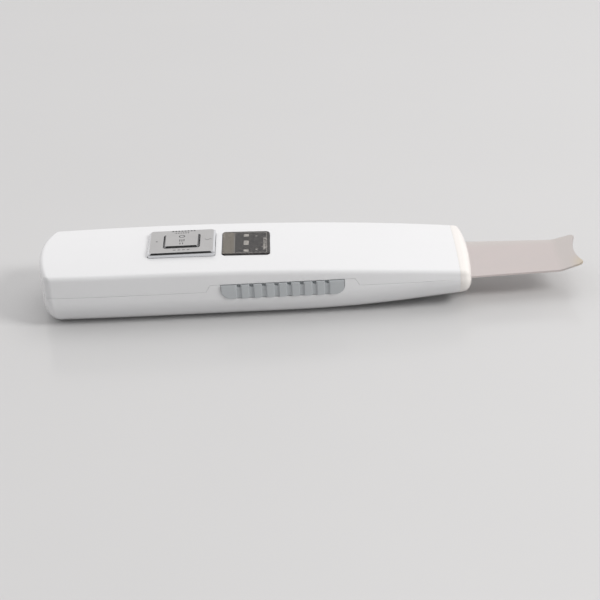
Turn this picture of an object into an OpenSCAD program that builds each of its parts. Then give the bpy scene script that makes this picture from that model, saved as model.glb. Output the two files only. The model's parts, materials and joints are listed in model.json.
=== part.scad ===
// Ultrasonic skin scrubber: a flat white handle with a chrome key, a dark display window,
// ribbed side grips and a stainless blade driven by a small bolted transducer.
// X runs along the handle towards the blade, Z is up, and the origin is the middle of the
// overall footprint on the surface that the handle lies on.

/* [Handle] */
// Length of the handle from its tail to the front of the nose
handle_l = 160.2; // [152:0.1:200]
// Width of the handle at its widest
handle_w = 44.8; // [42:0.2:56]
// Height of the side walls' top edge over the flat back
handle_h = 20.5; // [19:0.2:26]
// Rise of the crowned top above its side edges
crown_h = 1.3; // [0.6:0.1:2]
// Wall thickness of the two shells
wall_t = 1.8; // [1.4:0.1:2.2]
// Radius of the lower long edges
belly_r = 10; // [6:0.5:12]
// Radius of the upper long edges
rim_r = 1.8; // [0.8:0.1:2]
// Lean of each side wall from the belly to the rim
side_draft = 0.5; // [0:0.1:1]
// Bow of the tail face, seen from above
tail_bow = 3.6; // [0:0.2:5]
// Corner radius of the tail, seen from above
tail_r = 2.6; // [1.4:0.2:4]
// Radius between the belly and the tail face
heel_r = 6.5; // [4:0.5:9]
// Rounding of the nose's front edges
nose_r = 3.4; // [2:0.1:4]
// Fall of the top edge towards the nose
top_fall = 5.4; // [2:0.2:6]
// Rise of the belly towards the nose
belly_rise = 4.4; // [2:0.2:5]
// Narrowing of each side at the nose
nose_taper = 1.1; // [0:0.1:2]
// Narrowing of each side at the tail
tail_taper = 0.8; // [0:0.1:2]
// Bow of the nose's front face, seen from above
nose_bow = 0.9; // [0:0.1:1.2]
// Length of the nose cap
nose_cap_l = 5; // [4:0.2:7]
// Height of the seam between the shells
seam_z = 12.4; // [12:0.1:13]

/* [Blade] */
// Length of blade that stands out of the nose
blade_reach = 41.6; // [30:0.1:60]
// Blade width where it leaves the nose
blade_w = 30; // [20:0.5:32]
// Blade width at the start of its curled end
blade_end_w = 26.4; // [18:0.5:30]
// Blade width just before the tips
tip_w = 25.2; // [16:0.2:28]
// Sheet thickness of the blade
blade_t = 0.7; // [0.5:0.05:0.9]
// Height of the middle of the sheet
blade_z = 10; // [9:0.1:10.4]
// Length of the curled end
curl_l = 9.6; // [8:0.2:16]
// Height that the curl gains at the tips
curl_rise = 2.4; // [1:0.1:4]
// Radius of the bend that starts the curl
bend_r = 8.5; // [5:0.5:12]
// Depth of the hollow between the two tips
hollow_d = 1.8; // [1:0.1:4]
// Radius of the tips' outer corners
tip_r = 2; // [1:0.1:3]

/* [Key plate and button] */
// Distance from the tail to the middle of the key plate
key_from_tail = 53.2; // [48:0.1:60]
// Length of the key plate
plate_l = 25; // [22:0.2:27]
// Width of the key plate
plate_w = 20.4; // [18:0.2:24]
// Height of the key plate's top face
plate_top_z = 23.2; // [22.4:0.1:24]
// Thickness of the key plate
plate_t = 2.4; // [2:0.1:2.6]
// Slope of the plate's edges, measured level
plate_bevel = 0.65; // [0.4:0.05:1.4]
// Length of the push button
button_l = 13; // [10:0.1:15]
// Width of the push button
button_w = 11; // [8:0.1:13]
// Height of the button above the key plate
button_proud = 0.5; // [0.2:0.1:1]
// Gap between the button and the plate on each side
button_gap = 0.35; // [0.15:0.05:0.4]
// Travel of the button when it is pressed
button_travel = 0.4; // [0.2:0.05:0.5]

/* [Display window] */
// Distance from the tail to the middle of the window
window_from_tail = 77.1; // [73:0.1:80]
// Length of the window
window_l = 17.8; // [14:0.1:18]
// Width of the window
window_w = 20; // [16:0.2:24]
// Thickness of the window
window_t = 1.3; // [1:0.1:1.6]
// Height that the window stands above the crown of the shell
window_proud = 0.15; // [0:0.05:0.4]

/* [Side grips] */
// Distance from the tail to the grips' rear end
grip_from_tail = 67.7; // [60:0.1:80]
// Length of each grip
grip_l = 45; // [40:0.1:56]
// Height of each grip's visible face
grip_h = 5.5; // [4.6:0.1:6]
// Height of the seam where it runs along the grips
grip_seam_z = 15.1; // [14.4:0.1:15.4]
// Height that the grips stand out of the side walls
grip_proud = 0.4; // [0.2:0.1:0.8]
// Radius of each grip's lower corners
grip_r = 3.4; // [1:0.2:4]
// Number of notches in each grip
notches = 8; // [4:1:9]
// Distance from one notch to the next
notch_pitch = 4.6; // [4:0.1:4.8]

/* [Battery] */
// Length of the battery cell
cell_l = 44; // [36:1:46]
// Width of the battery cell
cell_w = 26; // [20:1:28]
// Thickness of the battery cell
cell_t = 7; // [5:0.2:7.6]

/* [Board] */
// Height of the main board's underside
board_z = 13.4; // [12.8:0.1:13.8]
// Thickness of the main board
board_t = 1.2; // [0.8:0.1:1.6]
// Width of the main board
board_w = 30; // [28:1:34]

/* [Charging jack] */
// Radius of the socket's bore
jack_r = 1.3; // [1:0.05:1.8]
// Depth of the socket's bore
jack_depth = 9; // [7:0.5:10]

/* [Transducer] */
// Radius of the transducer's ceramic rings and metal masses
stack_r = 5; // [4:0.1:5.2]
// Thickness of each ceramic ring
ring_t = 2.5; // [2:0.1:3]
// Radius of the preload bolt's shank
bolt_r = 2; // [1.5:0.1:2.2]
// Distance from the nose to the horn's rear face
horn_from_nose = 44.6; // [42:0.5:46]
// Wall of the silicone bushes around the transducer
bush_t = 1.7; // [1:0.1:1.8]

/* [Fasteners] */
// Shank radius of the housing screws
case_screw_r = 1.1; // [0.9:0.1:1.3]
// Length of the housing screws under the head
case_screw_l = 9; // [8:0.5:9]
// Shank radius of the board screws
board_screw_r = 0.8; // [0.6:0.1:1]
// Shank radius of the blade screws
blade_screw_r = 1; // [0.8:0.1:1.2]

/* [Hidden] */
$fn = 48;

white = "#f3f4f6";
cream = "#f4efe6";
grip_blue = "#a7b3bd";
chrome = "#c8ccd0";
dark_glass = "#2b221d";
steel = "#b9b5ae";
brass = "#c9a75a";
silicone = "#d8dade";
board_green = "#2f6b45";
black = "#232325";
copper = "#b8703a";
ceramic = "#d9cfb4";
lead_red = "#b5332c";

// fits
snug = 0.1;      // clearance of parts that drop into a pocket
eps = 0.5;       // overlap of a cutter past the face that it cuts

// places along the handle
tail_x = -(handle_l + blade_reach) / 2;
nose_x = tail_x + handle_l;
blade_end_x = nose_x + blade_reach;
cap_x = nose_x - nose_cap_l;
top_bend_x = tail_x + 40;
belly_bend_x = nose_x - 68;
waist_x = tail_x + 40;
taper_x = nose_x - 53;
bow_fade_l = 18.5;
key_x = tail_x + key_from_tail;
window_x = tail_x + window_from_tail;
grip_x0 = tail_x + grip_from_tail;
grip_x1 = grip_x0 + grip_l;
seam_step_l = 1.6;
seam_margin = 4;

// the handle's outline as functions of the distance along it
function sq(v) = v * v;
function past(x, from, to) = max(0, (x - from) / (to - from));
function rounded_end(d, r) = d >= r ? 0 : r - sqrt(max(0, sq(r) - sq(r - d)));
function side_y(x) = handle_w/2 - nose_taper * sq(past(x, taper_x, nose_x))
    - tail_taper * sq(past(-x, -waist_x, -tail_x));
function edge_z(x) = handle_h - top_fall * sq(past(x, top_bend_x, nose_x));
function belly_z(x) = belly_rise * sq(past(x, belly_bend_x, nose_x));
function crown_z(x, y) = edge_z(x) + crown_h * (1 - sq(y / (side_y(x) - side_draft - rim_r)));
// height of the cavity's floor at a distance y from the middle
function floor_z(x, y) =
    let (r = belly_r - wall_t, run = max(0, abs(y) - (side_y(x) - belly_r)))
    belly_z(x) + wall_t + r - sqrt(sq(r) - sq(min(run, r)));

// one half of the handle's section, inset by s, from the belly's middle to the crown's middle
corner_share = 0.7;
corner_steps = 6;
rim_steps = 3;
crown_steps = 4;
function half_section(x, s) =
    let (tail_d = x - tail_x - s, nose_d = nose_x - s - x,
        nose_in = s > 0 ? 0 : rounded_end(nose_d, nose_r),
        w = side_y(x) - s - nose_in - rounded_end(tail_d, max(tail_r - s, 0.4)),
        top = edge_z(x) - s - nose_in - rounded_end(tail_d, max(rim_r - s, 0.3)),
        low = belly_z(x) + s + nose_in + rounded_end(tail_d, max(heel_r - s, 1)),
        corner = belly_r - s,
        corner_h = min(corner, corner_share * (top - low)),
        rim = max(rim_r - s, 0.3), rim_y = w - side_draft - rim)
    concat([[0, low]],
        [for (i = [0 : corner_steps]) let (a = 90 * i / corner_steps)
            [w - corner + corner * sin(a), low + corner_h * (1 - cos(a))]],
        [for (i = [0 : rim_steps]) let (a = 90 * i / rim_steps)
            [rim_y + rim * cos(a), top - rim + rim * sin(a)]],
        [for (i = [1 : crown_steps]) let (y = rim_y * (1 - i / crown_steps))
            [y, top + crown_h * (1 - sq(y / rim_y))]]);
half_n = corner_steps + rim_steps + crown_steps + 3;
ring_n = 2 * half_n - 2;
// the bowed tail carries its rings with it, and the bow fades out further along; the outside of
// the nose bows the other way
function bow_x(x, y, s) =
    let (fade = max(0, min(1, 1 - (x - tail_x - s - heel_r) / bow_fade_l)),
        nose_share = s > 0 ? 0 : sq(past(x, cap_x, nose_x)))
    (tail_bow * fade - nose_bow * nose_share) * sq(y / side_y(x));
function ring(x, s) =
    let (half = half_section(x, s), both = concat(half,
        [for (i = [half_n - 2 : -1 : 1]) [-half[i].x, half[i].y]]))
    [for (p = both) [x + bow_x(x, p.x, s), p.x, p.y]];
function tail_stations(s) = [for (i = [0 : 5]) tail_x + s + heel_r * (1 - cos(18 * i))];
function middle_stations(s, to, n = 10) =
    let (from = tail_x + s + heel_r) [for (i = [1 : n]) from + (to - from) * i / n];
function nose_stations(from) = concat([from], [for (i = [0 : 5]) nose_x - nose_r * (1 - sin(18 * i))]);
function loft_faces(n) = concat(
    [for (k = [0 : n - 2], i = [0 : ring_n - 1]) let (j = (i + 1) % ring_n)
        [k*ring_n + i, (k + 1)*ring_n + i, (k + 1)*ring_n + j, k*ring_n + j]],
    end_faces(0, false), end_faces((n - 1) * ring_n, true));
function end_faces(base, flip) = [for (side = [0, 1], k = [0 : half_n/2 - 2])
    let (a = rim_index(side, k), b = rim_index(side, k + 1),
        c = rim_index(side, half_n - 2 - k), d = rim_index(side, half_n - 1 - k))
    each [for (t = [[a, b, c], [a, c, d]])
        (side == 1) == flip ? [base + t[0], base + t[1], base + t[2]]
            : [base + t[2], base + t[1], base + t[0]]]];
function rim_index(side, k) = side == 0 ? k : (ring_n - k) % ring_n;

// the handle's form, inset by s, between stations along X
module form(s, stations) {
    polyhedron(points = [for (x = stations) each ring(x, s)],
        faces = loft_faces(len(stations)), convexity = 6);
}
module handle_form(s, to) form(s, concat(tail_stations(s), middle_stations(s, to)));

module rounded_rect(l, w, r) {
    square([l - 2*r, w], center = true);
    square([l, w - 2*r], center = true);
    for (sx = [-1, 1], sy = [-1, 1]) translate([sx * (l/2 - r), sy * (w/2 - r)]) circle(r);
}
module plate(l, w, t, r) linear_extrude(t) rounded_rect(l, w, r);
module block(l, w, h) translate([-l/2, -w/2, 0]) cube([l, w, h]);
// a block whose upper edges slope in by c, standing on z = 0
module sloped_block(l, w, h, c, r) {
    intersection() {
        plate(l, w, h, r);
        rotate([90, 0, 0]) linear_extrude(w + 2, center = true) sloped_profile(l, h, c);
        rotate([90, 0, 90]) linear_extrude(l + 2, center = true) sloped_profile(w, h, c);
    }
}
module sloped_profile(l, h, c) polygon([[-l/2, 0], [l/2, 0], [l/2, h - c], [l/2 - c, h],
    [c - l/2, h], [-l/2, h - c]]);
module along_x(x, y = 0, z = 0) translate([x, y, z]) rotate([0, 90, 0]) children();
module peg(r, z0, z1) translate([0, 0, z0]) cylinder(r = r, h = z1 - z0);
// a round tube swept along points, with a ring of sides at each of them
function unit(v) = v / norm(v);
function heading(p, i) = unit(p[min(i + 1, len(p) - 1)] - p[max(i - 1, 0)]);
function tube_ring(p, i, r, sides) =
    let (d = heading(p, i), u = unit(cross(d, [0.2, 0.1, 1])), v = cross(d, u))
    [for (k = [0 : sides - 1]) p[i] + r * (u * cos(360 * k / sides) + v * sin(360 * k / sides))];
function bend(p, i, t) =
    let (a = p[max(i - 1, 0)], b = p[i], c = p[i + 1], d = p[min(i + 2, len(p) - 1)])
    0.5 * (2*b + (c - a)*t + (2*a - 5*b + 4*c - d)*t*t + (3*b - a - 3*c + d)*t*t*t);
// the path is rounded between its points, with its first and last stretches left straight
function smooth_path(p, n) = let (last = len(p) - 2)
    concat([for (i = [0 : last], k = [0 : (i == 0 || i == last) ? 0 : n - 1])
        bend(p, i, k / n)], [p[last + 1]]);
module tube(points, r, sides = 8, n = 2) {
    p = smooth_path(points, n);
    count = len(p);
    polyhedron(points = [for (i = [0 : count - 1]) each tube_ring(p, i, r, sides)],
        faces = concat([[for (k = [0 : sides - 1]) k]],
            [for (i = [0 : count - 2], k = [0 : sides - 1]) let (j = (k + 1) % sides,
                a = i*sides + k, b = (i + 1)*sides + k, c = (i + 1)*sides + j, d = i*sides + j)
                each [[a, b, c], [a, c, d]]],
            [[for (k = [sides - 1 : -1 : 0]) (count - 1)*sides + k]]));
}

// shells
neck_l = 2.4;
skirt_t = 0.95;
neck_gap = 0.05;
boss_joint_z = 9;
boss_r = 3.1;
case_head_r = 2.1;
case_head_h = 1.5;
case_spots = [[tail_x + 9, 10, 5.5], [nose_x - 11, 11.5, belly_z(nose_x - 11) + wall_t]];
board_x0 = tail_x + 14;
board_x1 = window_x + window_l/2 + 4.3;
board_top = board_z + board_t;
board_boss_r = 2.2;
board_head_r = 1.9;
board_head_h = 1.3;
board_spots = [[board_x0 + 3, board_w/2 - 3], [board_x1 - 3, board_w/2 - 2.5]];
module at_pairs(spots) for (p = spots, side = [-1, 1]) translate([p.x, side * p.y, 0]) {
    $seat = p.z;
    children();
}
function seam_line() = [[tail_x - 10, seam_z],
    [grip_x0 - seam_margin - seam_step_l, seam_z], [grip_x0 - seam_margin, grip_seam_z],
    [grip_x1 + seam_margin, grip_seam_z], [grip_x1 + seam_margin + seam_step_l, seam_z],
    [nose_x + 10, seam_z]];
module seam_side(z) rotate([90, 0, 0]) linear_extrude(handle_w + 20, center = true)
    polygon(concat(seam_line(), [[nose_x + 10, z], [tail_x - 10, z]]));
module shell_wall() difference() {
    union() {
        handle_form(0, cap_x);
        form(skirt_t + neck_gap, [cap_x - 1, cap_x + neck_l]);
    }
    handle_form(wall_t, cap_x + neck_l + eps);
}
// room between the shells for fittings, reaching half-way into the walls
module fittings_room() handle_form(wall_t/2, cap_x);

// transducer, on an axis level with the blade's lower face
axis_z = blade_z - blade_t/2;
horn_x = nose_x - horn_from_nose;
tab_t = 0.2;
stack_x = horn_x - 2*ring_t - 2*tab_t;
back_mass_l = 14;
bush_l = 4;
bush_r = stack_r + bush_t;
rear_bush_x = stack_x - 10;
front_bush_x = horn_x + 6;
rib_t = 2;
rib_side = 1.5;
// a rib across the cavity with a round seat for a bush, from z0 to z1
module bush_rib(x, z0, z1) difference() {
    translate([x - rib_t/2, -bush_r - rib_side, z0]) cube([rib_t, 2*(bush_r + rib_side), z1 - z0]);
    along_x(x - rib_t, 0, axis_z) cylinder(r = bush_r, h = 2*rib_t);
}
// relief in the shells' walls where a bush would touch them
module bush_reliefs() for (x = [rear_bush_x, front_bush_x])
    along_x(x - bush_l/2 - snug, 0, axis_z) cylinder(r = bush_r, h = bush_l + 2*snug);

// key plate and button
plate_seat_z = plate_top_z - plate_t;
plate_corner_r = 1.2;
button_corner_r = 0.6;
button_slope = 0.5;
button_top_z = plate_top_z + button_proud;
lip_edge = 0.85;
lip_t = 0.8;
lip_gap = 0.1;
lip_top_z = plate_seat_z - lip_gap;
lip_room = 0.3;
stem_r = 2;
// display window
window_tilt = atan(2 * top_fall * (window_x - top_bend_x) / sq(nose_x - top_bend_x));
window_corner_r = 1.5;
window_ledge = 1.4;
window_top_z = edge_z(window_x) + crown_h + window_proud;
module at_window() translate([window_x, 0, window_top_z]) rotate([0, window_tilt, 0])
    translate([0, 0, -window_t]) children();
baffle_l = window_l - 2*window_ledge - 1;
baffle_w = window_w - 2*window_ledge - 1;
baffle_top = window_top_z - window_t - sin(window_tilt) * baffle_l/2 - snug;
// side grips
grip_z0 = grip_seam_z - grip_h;
grip_out_y = handle_w/2 + grip_proud;
flange_t = 0.8;
flange_edge = 0.8;
flange_gap = 0.15;
// the flange stands just inside the wall at its front end, where the wall leans in by its
// round corner below and by its draft above
flange_x = grip_x1 + flange_edge;
corner_z = belly_z(flange_x) + belly_r;
corner_lean = belly_r - wall_t
    - sqrt(sq(belly_r - wall_t) - sq(max(0, corner_z - grip_z0 + flange_edge)));
draft_lean = side_draft * (grip_seam_z - corner_z) / (edge_z(flange_x) - rim_r - corner_z);
grip_in_y = side_y(flange_x) - wall_t - flange_gap - max(corner_lean, draft_lean);
// the grip's outline with a flat top and round lower corners, grown by g
module grip_outline(g, top) intersection() {
    translate([grip_x0 - g, grip_z0 - g]) square([grip_l + 2*g, top - grip_z0 + g]);
    union() {
        translate([grip_x0 - g, grip_z0 - g + grip_r]) square([grip_l + 2*g, 2*grip_h]);
        translate([grip_x0 - g + grip_r, grip_z0 - g])
            square([grip_l + 2*g - 2*grip_r, 2*grip_h]);
        for (x = [grip_x0 - g + grip_r, grip_x1 + g - grip_r])
            translate([x, grip_z0 - g + grip_r]) circle(grip_r);
    }
}
module grip_slab(g, top, y0, y1) translate([0, y1, 0]) rotate([90, 0, 0])
    linear_extrude(y1 - y0) grip_outline(g, top);
// charging jack
jack_z = seam_z;
jack_collar_r = 2.7;
jack_mouth_x = tail_x + 0.1;
jack_body_x = tail_x + wall_t + 0.3;
jack_body_l = 11;
jack_rear_x = jack_body_x + jack_body_l;

module upper_shell() color(white) difference() {
    union() {
        intersection() {
            shell_wall();
            seam_side(60);
        }
        intersection() {
            fittings_room();
            union() {
                at_pairs(case_spots) peg(boss_r, boss_joint_z, 60);
                at_pairs(board_spots) peg(board_boss_r, board_top, 60);
                bush_rib(rear_bush_x, axis_z, 60);
                bush_rib(front_bush_x, axis_z, 60);
            }
        }
    }
    at_pairs(case_spots) peg(case_screw_r, boss_joint_z - eps, $seat + case_screw_l + snug);
    at_pairs(board_spots) peg(board_screw_r, board_top - eps, board_top + 3.4);
    translate([key_x, 0, plate_seat_z])
        plate(plate_l + 2*snug, plate_w + 2*snug, 10, plate_corner_r + snug);
    translate([key_x, 0, board_top])
        block(button_l + 2*(lip_edge + lip_room), button_w + 2*(lip_edge + lip_room), 10);
    at_window() plate(window_l + 2*snug, window_w + 2*snug, 10, window_corner_r + snug);
    at_window() translate([0, 0, -4])
        block(window_l - 2*window_ledge, window_w - 2*window_ledge, 10);
    along_x(tail_x - 5, 0, jack_z) cylinder(r = jack_collar_r + neck_gap, h = 12);
    bush_reliefs();
}

module lower_shell() color(white) difference() {
    union() {
        intersection() {
            shell_wall();
            seam_side(-60);
        }
        intersection() {
            fittings_room();
            union() {
                at_pairs(case_spots) peg(boss_r, -1, boss_joint_z);
                bush_rib(rear_bush_x, 0, axis_z);
                bush_rib(front_bush_x, 0, axis_z);
            }
        }
    }
    at_pairs(case_spots) peg(case_screw_r + snug, -1, boss_joint_z + eps);
    at_pairs(case_spots) peg(case_head_r + snug, -1, $seat);
    for (side = [0, 1]) mirror([0, side, 0])
        grip_slab(0, grip_seam_z + eps, handle_w/2 - wall_t - 3, handle_w/2 + 3);
    along_x(tail_x - 5, 0, jack_z) cylinder(r = jack_collar_r + neck_gap, h = 12);
    bush_reliefs();
}

// the seal's pocket behind the cap's front wall
seal_t = 1.3;
seal_edge = 1.6;
seal_h = 4.4;
slot_gap = 0.25;
seal_x = cap_x + neck_l + snug;
module seal_outline(g) translate([seal_x, -blade_w/2 - seal_edge - g, blade_z - seal_h/2 - g])
    cube([seal_t + g, blade_w + 2*seal_edge + 2*g, seal_h + 2*g]);
module blade_slot(g) translate([seal_x - 5, -blade_w/2 - g, blade_z - blade_t/2 - g])
    cube([20, blade_w + 2*g, blade_t + 2*g]);

module nose_cap() color(cream) difference() {
    form(0, nose_stations(cap_x));
    form(skirt_t, [cap_x - eps, seal_x]);
    seal_outline(0);
    blade_slot(slot_gap);
}

module blade_seal() color(silicone) difference() {
    seal_outline(0);
    blade_slot(0);
}

// blade: a shank under the clamp, shoulders inside the nose, and a tapered tongue whose end
// curls up and is hollowed between two round-cornered tips
shank_w = 12;
shank_x0 = nose_x - 21.5;
shoulder_x0 = nose_x - 8;
shoulder_x1 = nose_x - 5.5;
curl_x0 = blade_end_x - curl_l;
curl_tilt = asin(bend_r / norm([curl_l, bend_r - curl_rise])) - atan2(bend_r - curl_rise, curl_l);
tip_x = blade_end_x - tip_r;
tip_y = tip_w/2 - tip_r;
hollow_r = (sq(tip_y) + sq(hollow_d)) / (2 * hollow_d);
clamp_spots = [nose_x - 18, nose_x - 12];
module blade_outline() difference() {
    union() {
        polygon([[shank_x0, -shank_w/2], [shoulder_x0, -shank_w/2], [shoulder_x1, -blade_w/2],
            [nose_x, -blade_w/2], [curl_x0, -blade_end_w/2], [tip_x, -tip_w/2],
            [tip_x, -tip_y], [blade_end_x, -tip_y], [blade_end_x, tip_y], [tip_x, tip_y],
            [tip_x, tip_w/2], [curl_x0, blade_end_w/2], [nose_x, blade_w/2],
            [shoulder_x1, blade_w/2], [shoulder_x0, shank_w/2], [shank_x0, shank_w/2]]);
        for (side = [-1, 1]) translate([tip_x, side * tip_y]) circle(tip_r);
    }
    translate([blade_end_x - hollow_d + hollow_r, 0]) circle(hollow_r, $fn = 96);
    for (x = clamp_spots) translate([x, 0]) circle(blade_screw_r + snug);
}
// one face of the sheet seen from the side, d above its middle: flat, bent, then straight again
bend_steps = 8;
function bend_point(a, d) = [curl_x0 + (bend_r - d) * sin(a), bend_r - (bend_r - d) * cos(a)];
function sheet_face(d) = concat([[shank_x0 - 1, d]],
    [for (i = [0 : bend_steps]) bend_point(curl_tilt * i / bend_steps, d)],
    [bend_point(curl_tilt, d) + (curl_l + 5) * [cos(curl_tilt), sin(curl_tilt)]]);
module blade_profile() {
    upper = sheet_face(blade_t/2);
    polygon(concat(sheet_face(-blade_t/2), [for (i = [len(upper) - 1 : -1 : 0]) upper[i]]));
}
module scraper_blade() color(steel) intersection() {
    translate([0, 0, blade_z - 5]) linear_extrude(20) blade_outline();
    translate([0, 0, blade_z]) rotate([90, 0, 0]) linear_extrude(blade_w + 2, center = true)
        blade_profile();
}

module key_plate() color(chrome) difference() {
    translate([key_x, 0, plate_seat_z])
        sloped_block(plate_l, plate_w, plate_t, plate_bevel, plate_corner_r);
    translate([key_x, 0, plate_seat_z - eps])
        plate(button_l + 2*button_gap, button_w + 2*button_gap, 10, button_corner_r + button_gap);
}

module mode_button() color(chrome) translate([key_x, 0, 0]) {
    translate([0, 0, lip_top_z]) sloped_block(button_l, button_w, button_top_z - lip_top_z,
        button_slope, button_corner_r);
    translate([0, 0, lip_top_z - lip_t])
        plate(button_l + 2*lip_edge, button_w + 2*lip_edge, lip_t, button_corner_r);
    peg(stem_r, plunger_top + plunger_gap, lip_top_z - lip_t);
}

module display_window() color(dark_glass) at_window()
    plate(window_l, window_w, window_t, window_corner_r);

// three wells, one over each lamp
led_pitch = 5.6;
well_l = 6;
well_w = 3.8;
module light_baffle() color(black) difference() {
    translate([window_x, 0, board_top]) block(baffle_l, baffle_w, baffle_top - board_top);
    for (i = [-1 : 1]) translate([window_x, i * led_pitch, board_top - eps])
        block(well_l, well_w, 20);
}
module status_leds() color("white") for (i = [-1 : 1])
    translate([window_x, i * led_pitch, board_top]) sloped_block(3.2, 1.8, 1.2, 0.3, 0.2);

// ribs are parted by notches: deep at the top, fading out below
notch_w = 1.1;
notch_deep = 0.9;
notch_h = 2.6;
notch_start = (grip_l - (notches - 1) * notch_pitch) / 2;
module notch(x) {
    translate([x, grip_out_y, grip_seam_z - notch_h]) rotate([12, 0, 0])
        translate([-notch_w/2, -notch_deep, 0]) cube([notch_w, 2, 10]);
    translate([x, grip_out_y + 0.2, grip_z0 - 1]) cylinder(r = notch_w/2, h = 10);
}
module grip() difference() {
    union() {
        grip_slab(0, grip_seam_z, grip_in_y - eps, grip_out_y);
        grip_slab(flange_edge, grip_seam_z, grip_in_y - flange_t, grip_in_y);
    }
    for (i = [0 : notches - 1]) notch(grip_x0 + notch_start + i * notch_pitch);
}
module side_grip_left() color(grip_blue) grip();
module side_grip_right() color(grip_blue) mirror([0, 1, 0]) grip();

module housing_screws() color(steel) at_pairs(case_spots) difference() {
    union() {
        peg(case_screw_r, $seat - snug/2, $seat + case_screw_l);
        peg(case_head_r, $seat - case_head_h, $seat);
    }
    for (turn = [0, 90]) rotate([0, 0, turn])
        translate([0, 0, $seat - case_head_h - eps]) block(2.4, 0.5, 0.8 + eps);
}

module main_board() color(board_green) difference() {
    translate([board_x0, -board_w/2, board_z]) cube([board_x1 - board_x0, board_w, board_t]);
    at_pairs(board_spots) peg(board_screw_r + snug, board_z - eps, board_top + eps);
}
module board_screws() color(steel) at_pairs(board_spots) difference() {
    union() {
        peg(board_screw_r, board_z - snug/2, board_top + 3.2);
        peg(board_head_r, board_z - board_head_h, board_z);
    }
    for (turn = [0, 90]) rotate([0, 0, turn])
        translate([0, 0, board_z - board_head_h - eps]) block(2, 0.5, 0.7 + eps);
}

// the tact switch under the button
switch_w = 6.2;
switch_h = 3.2;
switch_top = board_top + switch_h;
cover_t = 0.25;
plunger_r = 1.75;
plunger_gap = 0.05;
plunger_rise = 0.95;
plunger_top = switch_top + cover_t + plunger_rise;
plunger_foot_r = 2.15;
plunger_foot_h = 0.45;
plunger_well_r = 2.3;
module switch_body() color(black) translate([key_x, 0, board_top]) difference() {
    block(switch_w, switch_w, switch_h);
    peg(plunger_well_r, switch_h - plunger_foot_h - button_travel - 0.2, switch_h + eps);
}
module switch_cover() color(steel) translate([key_x, 0, switch_top]) difference() {
    block(switch_w, switch_w, cover_t);
    peg(plunger_r + snug, -eps, cover_t + eps);
}
module switch_plunger() color(black) translate([key_x, 0, 0]) {
    peg(plunger_r, switch_top - plunger_foot_h, plunger_top);
    peg(plunger_foot_r, switch_top - plunger_foot_h - 0.05, switch_top - 0.05);
}

chip_x = board_x0 + 16;
chip_l = 10.2;
chip_w = 7.4;
lead_pitch = 1.27;
module controller_chip() color(black) translate([chip_x, 0, board_top]) {
    sloped_block(chip_l, chip_w, 2, 0.4, 0.2);
    for (i = [0 : 7], side = [-1, 1])
        translate([(i - 3.5) * lead_pitch, side * (chip_w/2 + 0.5), 0]) block(0.42, 1.4, 0.9);
}
module board_components() color("tan") {
    for (i = [0 : 3]) translate([board_x0 + 26 + 2.6*i, 10, board_top]) block(1.3, 2.2, 0.9);
    for (i = [0 : 2]) translate([board_x0 + 8, -8 + 4*i, board_top]) block(2.2, 1.3, 0.9);
    translate([key_x - 7, -9.5, board_top]) block(3, 4.4, 1.6);
    translate([window_x - 12, 8, board_top]) block(2.8, 3.2, 1.2);
    translate([window_x - 12, -9, board_z - 1.1]) block(4.6, 2.8, 1.1);
}

// step-up transformer hung under the board
trafo_x = window_x - 2;
trafo_l = 13;
trafo_w = 6.4;
trafo_h = 8.4;
leg_l = 3.5;
wire_room_l = 2.6;
wire_room_h = 5.4;
trafo_z = board_z - trafo_h;
module winding_rooms() for (side = [-1, 1])
    translate([trafo_x + side * (leg_l + wire_room_l)/2, 0, trafo_z + (trafo_h - wire_room_h)/2])
        block(wire_room_l, trafo_w + 2, wire_room_h);
module transformer_core() color("dimgray") difference() {
    translate([trafo_x, 0, trafo_z]) block(trafo_l, trafo_w, trafo_h);
    winding_rooms();
}
module transformer_winding() color(copper)
    translate([trafo_x, 0, trafo_z + (trafo_h - wire_room_h)/2]) difference() {
        plate(leg_l + 2*wire_room_l, trafo_w + 4, wire_room_h, 1.5);
        translate([0, 0, -eps]) block(leg_l, trafo_w, wire_room_h + 2*eps);
    }
cap_r = 3.1;
cap_h = 9;
module smoothing_capacitor() color("slategray") translate([window_x + 5.2, -9.4, 0]) difference() {
    peg(cap_r, board_z - cap_h, board_z);
    for (turn = [0, 90]) rotate([0, 0, turn])
        translate([0, 0, board_z - cap_h - eps]) block(4, 0.3, 0.2 + eps);
}

// battery on its foam pad, with lead tabs at the front end
cell_x0 = board_x0 + 2;
cell_x1 = cell_x0 + cell_l;
pad_t = 0.6;
pad_w = 2 * min(9.8, cell_w/2 - 1);
cell_z = max(wall_t + pad_t, floor_z(cell_x0, cell_w/2) + 0.3);
cell_tab_l = 2.5;
cell_tab_y = 5;
cell_tab_z = cell_z + cell_t/2;
module battery_cell() color("lightsteelblue") translate([cell_x0, 0, cell_z + cell_t/2])
    rotate([90, 0, 90]) linear_extrude(cell_l) rounded_rect(cell_w, cell_t, 2);
module battery_tabs() color(brass) for (side = [-1, 1])
    translate([cell_x1, side * cell_tab_y - 2, cell_tab_z - 0.15]) cube([cell_tab_l, 4, 0.3]);
module battery_pad() color("gray") translate([cell_x0 + 3, -pad_w/2, wall_t])
    cube([cell_l - 6, pad_w, cell_z - wall_t]);
wire_r = 0.5;
module battery_leads() color(lead_red) for (side = [-1, 1])
    let (x = cell_x1 + cell_tab_l - 1, y = side * cell_tab_y, z = cell_tab_z + 0.15)
        tube([[x, y, z], [x, y, z + 1], [x + 0.6, y, (z + board_z)/2],
            [x, y, board_z - 1], [x, y, board_z]], wire_r);

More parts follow.
